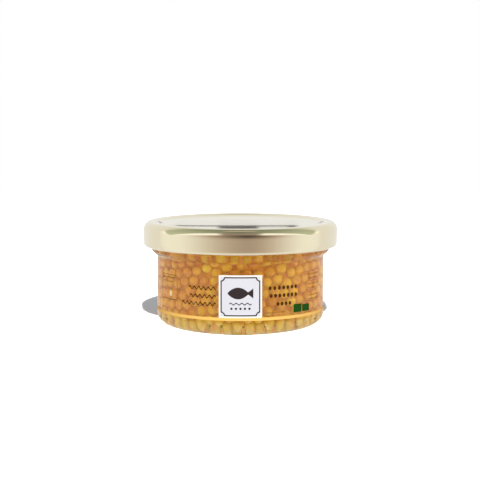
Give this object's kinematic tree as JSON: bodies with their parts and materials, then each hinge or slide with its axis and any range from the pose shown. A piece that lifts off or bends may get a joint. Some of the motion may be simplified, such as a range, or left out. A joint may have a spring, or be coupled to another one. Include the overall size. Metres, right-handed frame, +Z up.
{
  "type": "jar of salmon roe",
  "caption": "Low glass jar packed with orange fish roe, closed by a gold metal twist-off lid and wrapped in a clear film label.",
  "frame": {"origin": "on the table, under the middle of the jar's base", "axes": "+Z up along the jar's axis, the label's front panel towards -Y, +X to the viewer's right"},
  "size_m": [0.0732, 0.0732, 0.0395],
  "materials": {
    "glass": "clear pressed glass",
    "tinplate": "pale champagne gold lacquer on satin tinplate",
    "roe": "translucent wet golden orange pearls",
    "film": "thin clear printed film"
  },
  "bodies": {
    "root": {"jar": "glass", "lid": "tinplate", "roe": "roe", "label": "film"}
  },
  "joints": []
}
